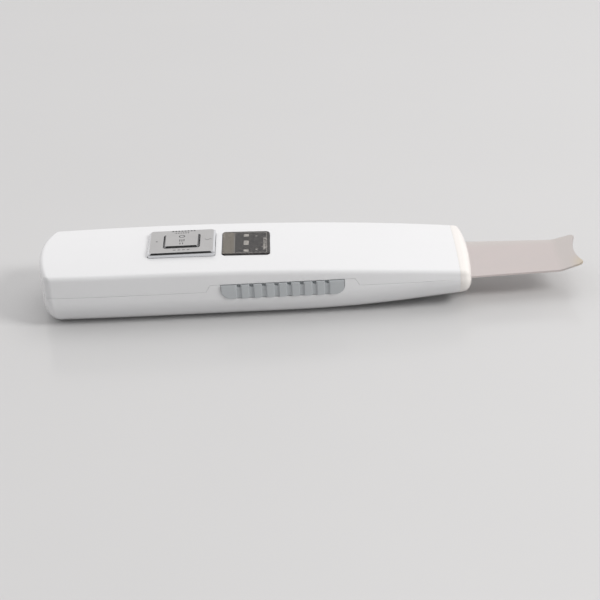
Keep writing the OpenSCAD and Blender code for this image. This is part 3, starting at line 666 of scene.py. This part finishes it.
def makeUpperShell():
    half = halfSection(("crown", 12), ("rim", 6), ("side", 4))
    piece = placed("upperShell", shellMesh(half, handle["seamGap"] / 2))
    key = (keyX, 0)
    cutAway(piece, [
        slab(grown(plateSize, plate["snug"]), plate["corner"], plateLow.z, cuts["above"], key),
        slab(grown(buttonSize, button["lip"] + cuts["room"]), cuts["corner"], cuts["roomLow"], cuts["above"],
            key),
        inWindowSeat(slab(grown(windowSize, plate["snug"]), window["corner"], -window["thick"],
            cuts["seatAbove"])),
        inWindowSeat(slab(grown(windowSize, -window["ledge"]), cuts["corner"], cuts["seatBelow"],
            cuts["seatAbove"])),
    ])
    smoothed(piece)
    evenNormals(piece)
    return finished(piece, shellPlastic, "shell_white", "upper_shell")


def gripCutter(side):
    grow = gripHole["grow"]
    length = gripHigh.x - gripLow.x + 2 * grow
    bm = slab((length, gripHole["height"]), gripHole["corner"], -gripHole["depth"], gripHole["depth"])
    bmesh.ops.rotate(bm, cent=(0, 0, 0), matrix=Matrix.Rotation(math.pi / 2, 3, "X"), verts=bm.verts)
    middle = ((gripLow.x + gripHigh.x) / 2, side * halfWidth, gripLow.z - grow + gripHole["height"] / 2)
    bmesh.ops.translate(bm, vec=middle, verts=bm.verts)
    return bm


def makeLowerShell():
    half = halfSection(("wall", 2), ("belly", 14), ("flat", 6))[::-1]
    piece = placed("lowerShell", shellMesh(half, -handle["seamGap"] / 2))
    sides = (-1, 1)
    spots = [(x, side * y, seat) for x, y, seat in screwSpots for side in sides]
    weldOn(piece, [rod(screw["bossR"], bellyZ(x) + screw["sink"], screw["joint"], (x, y))
        for x, y, seat in spots])
    cutters = [gripCutter(side) for side in sides]
    for x, y, seat in spots:
        cutters.append(rod(screw["headR"] + screw["clear"], cuts["below"], seat, (x, y)))
        cutters.append(rod(screw["shaftR"], cuts["below"], cuts["shaftTop"], (x, y)))
    cutAway(piece, cutters)
    smoothed(piece)
    evenNormals(piece)
    return finished(piece, shellPlastic, "shell_white", "lower_shell")


cap = dict(skirt=0.95, frontBack=2.5, slotHalfW=15.25, slotHalfH=0.6, mouthHalfW=14.6, mouthHalfH=1.9,
    bladeMid=0.35, firstRow=0.8, rearEdge=0.12, close=0.01)
bladeLow, bladeHigh = span("scraper_blade")


# one sheet: over the outside to the slot, in through it and back along the inside
def makeNoseCap():
    columns = bothSides(halfSection(("crown", 12), ("rim", 6), ("side", 4), ("belly", 12), ("flat", 6)))
    bladeZ = bladeLow.z + cap["bladeMid"]
    ends = [handle["noseR"]] * 3

    def capPoint(row, column, side, inset, frontX):
        stage, value = row
        turn = turnOf(stage, value)
        x = value if stage == "run" else frontX - handle["noseR"] * (1 - math.cos(turn))
        if inset:
            x = min(value, frontX) if stage == "run" else frontX
            turn = math.pi / 2
        y, z = sectionPoint(column, x, inset, ends, turn)
        if stage == "face":
            slotY = min(y * cap["slotHalfW"] / cap["mouthHalfW"], cap["slotHalfW"])
            slotZ = bladeZ + cap["slotHalfH"] * within((z - bladeZ) / cap["mouthHalfH"], -1, 1)
            y, z = mixed(y, slotY, value), mixed(z, slotZ, value)
        return Vector((x + bow(x, y, inset), side * y, z))

    def atRear(e):
        return all(abs(v.co.x - capX) < cap["close"] for v in e.verts) and e.calc_face_angle(0) > 1

    bm = bmesh.new()
    faces = faceRows[1:]
    backX = noseX - cap["frontBack"]
    outer = [("run", capX), ("run", capX + cap["firstRow"])] + turnRows[::-1] + faces
    inner = [("run", capX), ("run", backX)] + faces
    loop = [(r, 0, noseX) for r in outer] + [(r, cap["skirt"], backX) for r in reversed(inner)]
    sheet(bm, loop + loop[:1], columns, lambda row, c: capPoint(row[0], *c, *row[1:]))
    bmesh.ops.remove_doubles(bm, verts=bm.verts, dist=1e-4)
    bmesh.ops.recalc_face_normals(bm, faces=bm.faces)
    bevelled(bm, [e for e in bm.edges if atRear(e)], cap["rearEdge"], 2, clamp=True)
    piece = placed("noseCap", bm)
    smoothed(piece, 40)
    return finished(piece, capPlastic, "cap_cream", "nose_cap")


makeUpperShell()
makeLowerShell()
makeNoseCap()
print("shells and cap made")


# the key plate and its button: both have flat sloped edges with mitred corners
# the last colour is painted shade: the gap shadow beside the button
chrome = dict(slope=(0.72, 0.73, 0.75), dull=(0.5, 0.497, 0.494), bright=(0.57, 0.567, 0.564),
    mark=(0.07, 0.07, 0.075), paintedGapShade=(0.03, 0.03, 0.033))


# the flat top is satin and carries the marks; the slopes that face along X can be darkened almost to black,
# a painted gap shadow beside the button
def chromeFinish(name, marks, paintedSideShade=0):
    f = Finish(name)
    normal = f.facing()
    flat = ((normal[2] - 0.97) / 0.02).clamped()
    satin = f.grain(0.09, (18, 1, 1), detail=3)
    cloud = f.grain(5, detail=3)
    tone = f.mix(flat, chrome["slope"], f.mix(cloud, chrome["dull"], chrome["bright"]))
    engraved = marks(f)
    tone = f.mix(engraved * flat, tone, chrome["mark"])
    # painted shade: faces turned along X are darkened almost to black, standing in for the gap shadow beside
    # the button
    tone = f.mix((abs(normal[0]) * paintedSideShade).clamped(), tone, chrome["paintedGapShade"])
    rough = 0.07 + flat * (0.2 + satin * 0.12) + engraved * 0.2
    return f.surface(tone, rough, satin * flat * 0.003 - engraved * 0.05, Metallic=1 - engraved * 0.6)


def joined(masks):
    total = masks[0]
    for mask in masks[1:]:
        total = total.larger(mask)
    return total


dashRows = [
    dict(y=8.9, halfY=0.42, x=0.2, halfX=4.6, pitch=1.15, start=0.5, half=0.36),
    dict(y=7.2, halfY=0.3, x=-0.1, halfX=2.9, pitch=0.9, start=0.4, half=0.26),
    dict(y=-7.6, halfY=0.22, x=0.4, halfX=3.4, pitch=1.7, start=0.8, half=0.5),
]


# rows of short dashes, and a few plain signs
def plateMarks(f):
    dashes = [f.band(f.y, d["y"], d["halfY"]) * f.band(f.x, keyX + d["x"], d["halfX"])
        * f.band(f.x % d["pitch"], d["start"], d["half"]) for d in dashRows]
    wave = f.maths("SINE", (f.x - keyX) * 3.1)
    ripple = f.band(f.y - wave * 0.35, 0.6, 0.14) * f.band(f.x, keyX + 9.8, 1.3)
    dot = f.patch((keyX - 9.4, 0.4), (0.3, 0.3))
    return joined([*dashes, ripple, dot])


def buttonMarks(f):
    ring = f.band(((f.x - keyX) * (f.x - keyX) + (f.y - 3.1) * (f.y - 3.1)) / 1.1, 0.9, 0.3)
    bars = [f.patch((keyX + dx, y), (0.16, 0.95)) for dx, y in ((-0.7, -0.4), (0.1, -0.6), (0.85, -0.3))]
    foot = [f.patch((keyX + dx, -3.1), (0.16, 0.7)) for dx in (-0.55, 0.45)]
    return joined([ring, *bars, *foot])


plateChrome = chromeFinish("plateChrome", plateMarks)
# the button's sides carry the painted gap shadow
buttonChrome = chromeFinish("buttonChrome", buttonMarks, paintedSideShade=1.4)


def makeKeyPlate():
    key = (keyX, 0)
    bm = slab(plateSize, plate["corner"], plateLow.z, plateHigh.z - plate["slope"], key, rounding=5)
    slopedTop(bm, plateSize, plate["slope"])
    piece = placed("keyPlate", bm)
    hole = grown(buttonSize, plate["gap"])
    cutAway(piece, [slab(hole, button["corner"] + plate["gap"], plateLow.z - 1, cuts["above"], key)])
    edgesAndNormals(piece, plate["edge"])
    return finished(piece, plateChrome, "chromed", "key_plate")


def makeButton():
    key = (keyX, 0)
    lipTop = plateLow.z - button["seat"]
    bm = slab(buttonSize, button["corner"], lipTop - button["sink"], buttonHigh.z - button["slope"], key,
        rounding=4)
    slopedTop(bm, buttonSize, button["slope"])
    piece = placed("modeButton", bm)
    lip = slab(grown(buttonSize, button["lip"]), button["corner"], lipTop - button["lipT"], lipTop, key)
    stem = rod(button["stemR"], buttonLow.z, lipTop - button["stemGap"], key)
    weldOn(piece, [lip, stem])
    edgesAndNormals(piece, button["edge"])
    return finished(piece, buttonChrome, "chromed", "mode_button", body="button")


makeKeyPlate()
makeButton()


# the window's print, with places along X counted from its tail end
printed = dict(stripX=2.3, stripHalf=(2.1, 9.2), frameX=10.6, frameHalf=(6.1, 8.9), line=0.28, blockX=9,
    blockHalf=0.95, blocks=((6.2, 1.1), (-0.25, 1.9), (-7.1, 0.9)), dotX=12.8, dotHalf=(0.4, 0.5),
    dots=(5.6, -6.2), barX=15.9, barY=-1, barHalf=(0.55, 5.4), crossX=15.8, crossY=-4, crossHalf=(1.1, 0.22))


# dark glossy plastic with pale print under its face
def windowFinish():
    f = Finish("windowGloss")
    left = windowX - window["length"] / 2
    hatch = f.band((f.x + f.y * 0.7) % 1.25, 0.5, 0.3, 0.15)
    strip = f.patch((left + printed["stripX"], 0), printed["stripHalf"], 0.1)
    middle = (left + printed["frameX"], 0)
    outer = f.patch(middle, printed["frameHalf"], 0.1)
    inner = f.patch(middle, [half - printed["line"] for half in printed["frameHalf"]], 0.1)
    outline = outer * (1 - inner)
    blocks = joined([f.patch((left + printed["blockX"], y), (printed["blockHalf"], half), 0.12)
        for y, half in printed["blocks"]])
    dots = joined([f.patch((left + printed["dotX"], y), printed["dotHalf"], 0.1) for y in printed["dots"]])
    bar = f.patch((left + printed["barX"], printed["barY"]), printed["barHalf"], 0.12)
    bar = bar * (f.grain(1.4, detail=2) > 0.42)
    centre = (left + printed["crossX"], printed["crossY"])
    cross = f.patch(centre, printed["crossHalf"]).larger(f.patch(centre, printed["crossHalf"][::-1]))
    marks = joined([outline * 0.55, blocks * 0.9, dots * 0.6, bar * 0.6, cross * 0.8])
    smear = f.grain(6, (1, 3, 1), detail=3)
    base = f.mix(smear, (0.012, 0.011, 0.011), (0.019, 0.017, 0.017))
    speckle = ((f.grain(0.9, detail=3) - 0.38) * 3).clamped()
    base = f.mix(strip * (0.3 + hatch * 0.3), base, (0.16, 0.135, 0.1))
    base = f.mix(strip * hatch * speckle, base, (0.52, 0.48, 0.4))
    base = f.mix(hatch * speckle * 0.2, base, (0.5, 0.46, 0.43))
    base = f.mix(marks * (0.45 + speckle * 0.55), base, (0.55, 0.52, 0.48))
    return f.surface(base, 0.09 + marks * 0.12 + smear * 0.05, f.grain(2.5, detail=2) * 0.0008,
        **{"IOR": 1.32})


def makeWindow():
    bm = slab(windowSize, window["corner"], -window["thick"], 0)
    bevelled(bm, topFace(bm).edges[:], window["edge"], 4)
    piece = placed("displayWindow", inWindowSeat(bm))
    smoothed(piece, 40)
    evenNormals(piece)
    return finished(piece, windowFinish(), "window_dark", "display_window")


makeWindow()
print("key plate, button and window made")

# side grips: full-height valleys between ribs, each with a deeper square pocket at its top
grip = dict(notches=8, pitch=4.6, valley=0.62, pocket=1.1, pocketH=0.95, corner=3.4, topGap=0.22, edge=0.07,
    depth=2.4, plainEnd=4.5, pocketStep=0.1)
# a notch across its width: how far from its middle, then its shares of the valley's and the pocket's depth
notchShape = [(-1.0, 0, 0), (-0.84, 1, 0), (-0.72, 1, 0), (-0.62, 1, 1), (0.62, 1, 1), (0.72, 1, 0),
    (0.8, 1, 0), (1.08, 0.1, 0), (1.2, 0, 0)]


def makeGrip(name, side, node):
    length = gripHigh.x - gripLow.x
    first = gripLow.x + (length - (grip["notches"] - 1) * grip["pitch"]) / 2
    ends = [(gripLow.x + grip["corner"] * (1 - math.cos(math.radians(a))), 0, 0) for a in range(0, 91, 10)]
    columns = ends + [(gripLow.x + grip["plainEnd"], 0, 0)]
    for k in range(grip["notches"]):
        columns += [(first + k * grip["pitch"] + dx, v, p) for dx, v, p in notchShape]
    columns += [(gripHigh.x - grip["plainEnd"], 0, 0)]
    columns += [(gripLow.x + gripHigh.x - x, 0, 0) for x, v, p in reversed(ends)]
    top = gripHigh.z - grip["topGap"]
    pocketZ = top - grip["pocketH"]
    levels = steps("low", 6) + steps("pocket", 1)

    def gripPoint(column, row):
        x, valley, pocket = column
        kind, share = row
        near = min(x - gripLow.x, gripHigh.x - x)
        reach = max(0, grip["corner"] - near)
        low = gripLow.z + grip["corner"] - math.sqrt(max(0, grip["corner"] ** 2 - reach ** 2))
        start, end = (low, pocketZ - grip["pocketStep"]) if kind == "low" else (pocketZ, top)
        deep = grip["pocket"] * pocket if kind == "pocket" else 0
        y = gripHigh.y - grip["valley"] * valley - deep
        return Vector((x, side * y, mixed(start, end, share)))

    bm = bmesh.new()
    front = sheet(bm, columns, levels, gripPoint)
    walls = bmesh.ops.extrude_edge_only(bm, edges=borders(front))["geom"]
    for v in only(walls, bmesh.types.BMVert):
        v.co.y = side * (gripHigh.y - grip["depth"])
    bmesh.ops.holes_fill(bm, edges=only(walls, bmesh.types.BMEdge), sides=0)
    bmesh.ops.recalc_face_normals(bm, faces=bm.faces)
    piece = placed(name, bm)
    edgesAndNormals(piece, grip["edge"], 2, 40, 45)
    return finished(piece, gripPlastic, "grip_blue_grey", node)


makeGrip("sideGripLeft", 1, "side_grip_left")
makeGrip("sideGripRight", -1, "side_grip_right")
print("grips made")

# the blade: a flat shank, a tapered tongue and a curled end hollowed between two round tips
blade = dict(shankHalf=6, half=15, endHalf=13.2, tipHalf=12.6, thick=0.7, tipR=2, hollow=1.8, curlL=9.6,
    curlRise=2.4, bendR=8.5, shoulder0=8, shoulder1=5.5, hole=1.1, holes=(18, 12), holeLow=5, holeHigh=15,
    edge=0.07, tipRow=1)


def steelFinish():
    f = Finish("bladeSteel")
    lines = f.grain(0.1, (1, 26, 1), detail=3)
    cloud = f.grain(16, detail=2)
    # painted shade: the curled end is painted greyer and darker where it bends up
    curlPaintedShade = ((f.x - (bladeHigh.x - blade["curlL"])) / 3).clamped()
    warm = ((f.x - bladeHigh.x + 5) / 5).clamped() * ((-4 - f.y) / 6).clamped()
    tone = f.mix(cloud, (0.67, 0.625, 0.605), (0.735, 0.655, 0.64))
    # painted sheen: the blade is painted paler towards its far edge
    tone = f.mix(((f.y - 9) / 6).clamped() * 0.6, tone, (0.74, 0.72, 0.69))
    tone = f.mix(curlPaintedShade * 0.6, tone, (0.63, 0.6, 0.575))
    tone = f.mix(warm * 0.6, tone, (0.72, 0.62, 0.42))
    return f.surface(tone, 0.3 + lines * 0.1 + cloud * 0.04, lines * 0.0015, Metallic=1)


def makeBlade():
    curlX = bladeHigh.x - blade["curlL"]
    bendR = blade["bendR"]
    drop = bendR - blade["curlRise"]
    bend = math.asin(bendR / math.hypot(blade["curlL"], drop)) - math.atan2(drop, blade["curlL"])
    tipX = bladeHigh.x - blade["tipR"]
    tipY = blade["tipHalf"] - blade["tipR"]
    lastX = tipX - blade["tipRow"]
    hollowR = (tipY ** 2 + blade["hollow"] ** 2) / (2 * blade["hollow"])
    outline = [(bladeLow.x, blade["shankHalf"]), (noseX - blade["shoulder0"], blade["shankHalf"]),
        (noseX - blade["shoulder1"], blade["half"]), (noseX, blade["half"]), (curlX, blade["endHalf"]),
        (tipX, blade["tipHalf"]), (bladeHigh.x + 1, blade["tipHalf"])]

    def halfAt(x):
        for (x0, w0), (x1, w1) in zip(outline, outline[1:]):
            if x <= x1:
                return mixed(w0, w1, (x - x0) / (x1 - x0))

    def endX(v):
        y = abs(v) * blade["tipHalf"]
        if y <= tipY:
            return bladeHigh.x - blade["hollow"] + hollowR - math.sqrt(hollowR ** 2 - y ** 2)
        return tipX + math.sqrt(max(0, blade["tipR"] ** 2 - (y - tipY) ** 2))

    def bladePoint(x, v):
        share = past(x, curlX, lastX)
        x = mixed(x, endX(v) - (lastX - x), share) if x > curlX else x
        away = max(0, x - curlX)
        bent = min(away, bendR * math.sin(bend))
        z = bladeLow.z + bendR - math.sqrt(bendR ** 2 - bent ** 2) + (away - bent) * math.tan(bend)
        return Vector((x, v * halfAt(x), z))

    stations = [x for x, half in outline[:3]] + [mixed(noseX, curlX, k / 8) for k in range(9)]
    stations += [mixed(curlX, lastX, k / 14) for k in range(1, 15)]
    columns = [math.sin(math.radians(a)) for a in range(-90, 91, 6)]
    bm = bmesh.new()
    sheet(bm, stations, columns, bladePoint)
    bmesh.ops.recalc_face_normals(bm, faces=bm.faces)
    if sum(f.normal.z for f in bm.faces) > 0:
        bmesh.ops.reverse_faces(bm, faces=bm.faces)
    bmesh.ops.solidify(bm, geom=bm.faces[:], thickness=blade["thick"])
    piece = placed("scraperBlade", bm)
    cutAway(piece, [rod(blade["hole"], blade["holeLow"], blade["holeHigh"], (noseX - setback, 0), 32)
        for setback in blade["holes"]])
    edgesAndNormals(piece, blade["edge"], 2, 50)
    return finished(piece, steelFinish(), "blade_steel", "scraper_blade")


makeBlade()
print("blade made")

# the CAD nodes that stay get their finishes
finishes = {
    "screw_steel": brushedMetal("screwSteel", (0.6, 0.6, 0.61), 0.28, (1, 8, 8), 0.2),
    "silicone": softRubber("siliconeRubber", (0.78, 0.79, 0.81)),
    "board_green": boardMask("boardMask", (0.03, 0.16, 0.07), (0.06, 0.26, 0.12)),
    "black_plastic": grainPlastic("blackPlastic", (0.028, 0.028, 0.03), 0.4),
    "lamp": litLamp("lampLens", (0.85, 0.85, 0.8)),
    "parts_tan": grainPlastic("chipParts", (0.42, 0.32, 0.2), 0.45, 0.5),
    "ferrite": grainPlastic("ferriteCore", (0.05, 0.05, 0.055), 0.55, 0.4, 0.03),
    "copper_wire": woundWire("copperWinding", (0.6, 0.27, 0.12)),
    "can_aluminium": canMetal("canSleeve", (0.12, 0.17, 0.26)),
    "cell_wrap": shrinkFilm("cellWrap", (0.3, 0.38, 0.5)),
    "brass": brushedMetal("brassSheet", (0.72, 0.55, 0.25), 0.3, (12, 1, 1), 0.15),
    "foam": speckledFoam("padFoam", (0.1, 0.1, 0.105)),
    "wire_red": softRubber("leadSleeve", (0.45, 0.05, 0.04), 0.4),
    "ceramic": firedCeramic("firedCeramic", (0.72, 0.66, 0.52)),
    "machined_alloy": turnedMetal("machinedAlloy", (0.68, 0.69, 0.7)),
    "dark_steel": turnedMetal("darkSteel", (0.12, 0.12, 0.13), 0.4),
}
slotOf = {part["node"]: part["material_slot"] for part in frame["record"]["subparts"]}
for name, node in frame["nodes"].items():
    if not node.hide_render:
        for slot in node.material_slots:
            slot.material = finishes[slotOf[name]]
print("CAD nodes finished")


# the stage: a pale, slightly glossy floor and soft light from the right and from above
def floorFinish():
    f = Finish("paleFloor")
    mottle = f.grain(90, detail=3)
    return f.surface(f.mix(mottle, (0.655, 0.655, 0.655), (0.675, 0.674, 0.674)), 0.16 + f.grain(25) * 0.05,
        f.grain(3) * 0.002, **{"IOR": 1.42})


floorMesh = bmesh.new()
bmesh.ops.create_grid(floorMesh, x_segments=8, y_segments=8, size=4000)
floor = placed("floor", floorMesh)
floor.data.materials.append(floorFinish())


# a soft lamp that reflections don't show
def softBox(name, spot, aim, size, power, tint=(1, 1, 1)):
    lamp = bpy.data.lights.new(name, "AREA")
    lamp.shape = "RECTANGLE"
    lamp.size, lamp.size_y = size
    lamp.energy = power
    lamp.color = tint
    box = bpy.data.objects.new(name, lamp)
    bpy.context.scene.collection.objects.link(box)
    box.location = spot
    box.rotation_euler = (Vector(aim) - Vector(spot)).to_track_quat("-Z", "Y").to_euler()
    box.visible_glossy = False


# a dark card that only the mirror-like faces see
def darkCard(name, spot, size):
    bm = bmesh.new()
    bmesh.ops.create_grid(bm, x_segments=1, y_segments=1, size=0.5)
    bmesh.ops.scale(bm, vec=(*size, 1), verts=bm.verts)
    facing = (-Vector(spot)).to_track_quat("-Z", "Y").to_matrix()
    bmesh.ops.rotate(bm, cent=(0, 0, 0), matrix=facing, verts=bm.verts)
    bmesh.ops.translate(bm, vec=spot, verts=bm.verts)
    card = placed(name, bm)
    card.data.materials.append(grainPlastic(name, (0.02, 0.02, 0.02)))
    card.visible_camera = False
    card.visible_diffuse = False
    card.visible_shadow = False
    card.visible_transmission = False


softBox("keyBox", (1.02, -0.48, 0.9), (0, 0, 0), (0.45, 0.45), 9.4, (1, 0.99, 0.98))
softBox("topBox", (0.45, 0.5, 1.4), (0.05, 0.1, 0), (1.2, 1), 3.2)
darkCard("overheadCard", (keyX, -165, 320), (260, 90))

# the surroundings are brighter behind the handle than in front of it
world = bpy.data.worlds.new("studio")
world.use_nodes = True
sky = world.node_tree
direction = sky.nodes.new("ShaderNodeSeparateXYZ")
sky.links.new(sky.nodes.new("ShaderNodeTexCoord").outputs["Generated"], direction.inputs[0])
ramp = sky.nodes.new("ShaderNodeMapRange")
for key, value in (("From Min", -0.6), ("From Max", 0.8), ("To Min", 0.4), ("To Max", 0.93)):
    ramp.inputs[key].default_value = value
sky.links.new(direction.outputs["Y"], ramp.inputs["Value"])
sky.links.new(ramp.outputs[0], sky.nodes["Background"].inputs["Strength"])
sky.nodes["Background"].inputs["Color"].default_value = (1, 0.985, 0.985, 1)
bpy.context.scene.world = world
bpy.context.scene.view_settings.view_transform = "Standard"
bpy.context.view_layer.update()
print("stage ready")
